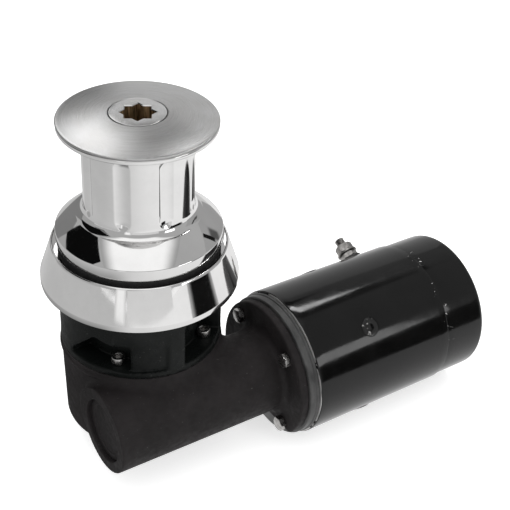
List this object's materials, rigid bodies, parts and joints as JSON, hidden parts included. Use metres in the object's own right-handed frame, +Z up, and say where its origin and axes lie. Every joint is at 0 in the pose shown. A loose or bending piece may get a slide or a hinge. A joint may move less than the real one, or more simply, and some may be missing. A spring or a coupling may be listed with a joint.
{
  "type": "sailboat winch",
  "caption": "Electric vertical capstan: chromed rope drum with star-socket clutch nut on a deck flange, worm gearbox and black DC motor below deck.",
  "frame": {"origin": "on the drum's axis, in the deck plane: the underside of the deck flange", "axes": "+Z up along the drum's axis, +X along the worm and motor axis towards the motor's closed end, -Y towards the worm's side of the gearbox"},
  "size_m": [0.3249, 0.1758, 0.2742],
  "materials": {
    "chrome": "mirror-polished chromium plate on bronze",
    "satin_steel": "satin, circular brushed stainless steel",
    "cast_black": "semi-matt black paint on an aluminium casting",
    "gloss_black": "glossy black paint",
    "zinc_steel": "bright zinc-plated or stainless fasteners",
    "machined_steel": "machined steel",
    "bronze": "machined bronze",
    "copper": "enamelled copper windings and copper bars",
    "rubber": "black nitrile rubber",
    "insulation": "black phenolic insulation",
    "carbon": "carbon brush"
  },
  "bodies": {
    "gearmotor": {"upper_shaft_bearing": "machined_steel", "lower_shaft_bearing": "machined_steel", "shaft_seal": "rubber", "deck_flange": "chrome", "skirt_seal": "rubber", "gearbox_cover": "cast_black", "gearbox_housing": "cast_black", "worm_end_cap": "cast_black", "outer_worm_bearing": "machined_steel", "inner_worm_bearing": "machined_steel", "motor_front_shield": "gloss_black", "motor_tube": "gloss_black", "motor_end_cap": "gloss_black", "field_winding": "copper", "motor_front_bearing": "machined_steel", "motor_rear_bearing": "machined_steel", "brush_holder": "insulation", "cover_screw_1": "zinc_steel", "cover_screw_2": "zinc_steel", "cover_screw_3": "zinc_steel", "cover_screw_4": "zinc_steel", "flange_bolt_1": "zinc_steel", "flange_bolt_2": "zinc_steel", "flange_bolt_3": "zinc_steel", "flange_bolt_4": "zinc_steel", "pole_screw_1": "gloss_black", "pole_screw_2": "gloss_black", "pole_screw_3": "gloss_black", "pole_screw_4": "gloss_black", "pole_shoe_1": "machined_steel", "pole_shoe_2": "machined_steel", "pole_shoe_3": "machined_steel", "pole_shoe_4": "machined_steel", "terminal_insulator_1": "insulation", "terminal_stud_1": "zinc_steel", "terminal_nut_1": "zinc_steel", "terminal_washer_1": "zinc_steel", "terminal_top_nut_1": "zinc_steel", "terminal_insulator_2": "insulation", "terminal_stud_2": "zinc_steel", "terminal_nut_2": "zinc_steel", "terminal_washer_2": "zinc_steel", "terminal_top_nut_2": "zinc_steel"},
    "drum": {"drum": "chrome", "drum_bush": "bronze", "drum_cap": "satin_steel"},
    "clutch_nut": {"clutch_nut": "chrome"},
    "thrust_washer": {"thrust_washer": "machined_steel"},
    "drive_shaft": {"main_shaft": "machined_steel", "clutch_cone": "bronze", "cone_key": "machined_steel", "worm_wheel": "bronze", "wheel_key": "machined_steel"},
    "motor_rotor": {"worm_shaft": "machined_steel", "shaft_coupling": "machined_steel", "armature_shaft": "machined_steel", "armature_core": "copper", "commutator": "copper"},
    "brush_1": {"brush_1": "carbon"},
    "brush_2": {"brush_2": "carbon"}
  },
  "joints": [
    {"name": "motor_spin", "type": "hinge", "parent": "gearmotor", "child": "motor_rotor", "pos_m": [0, -0.04815, -0.0887], "axis": [1, 0, 0], "continuous": true},
    {"name": "shaft_spin", "type": "hinge", "parent": "gearmotor", "child": "drive_shaft", "pos_m": [0, 0, 0], "axis": [0, 0, 1], "continuous": true},
    {"name": "drum_spin", "type": "hinge", "parent": "drive_shaft", "child": "drum", "pos_m": [0, 0, 0], "axis": [0, 0, 1], "continuous": true},
    {"name": "clutch_lift", "type": "slide", "parent": "drive_shaft", "child": "thrust_washer", "axis": [0, 0, 1], "range_m": [0, 0.002]},
    {"name": "clutch_turn", "type": "hinge", "parent": "thrust_washer", "child": "clutch_nut", "pos_m": [0, 0, 0], "axis": [0, 0, 1], "range_deg": [0, 360]},
    {"name": "brush_1_slide", "type": "slide", "parent": "gearmotor", "child": "brush_1", "axis": [0, 0.9135, 0.4067], "range_m": [0, 0.003], "stiffness_N_per_m": 60, "springref_m": -0.01},
    {"name": "brush_2_slide", "type": "slide", "parent": "gearmotor", "child": "brush_2", "axis": [0, -0.4067, 0.9135], "range_m": [0, 0.003], "stiffness_N_per_m": 60, "springref_m": -0.01}
  ],
  "couplings": [
    {"joint": "shaft_spin", "follows": "motor_spin", "ratio": -0.026316},
    {"joint": "clutch_lift", "follows": "clutch_turn", "m_per_rad": 0.00031831}
  ]
}
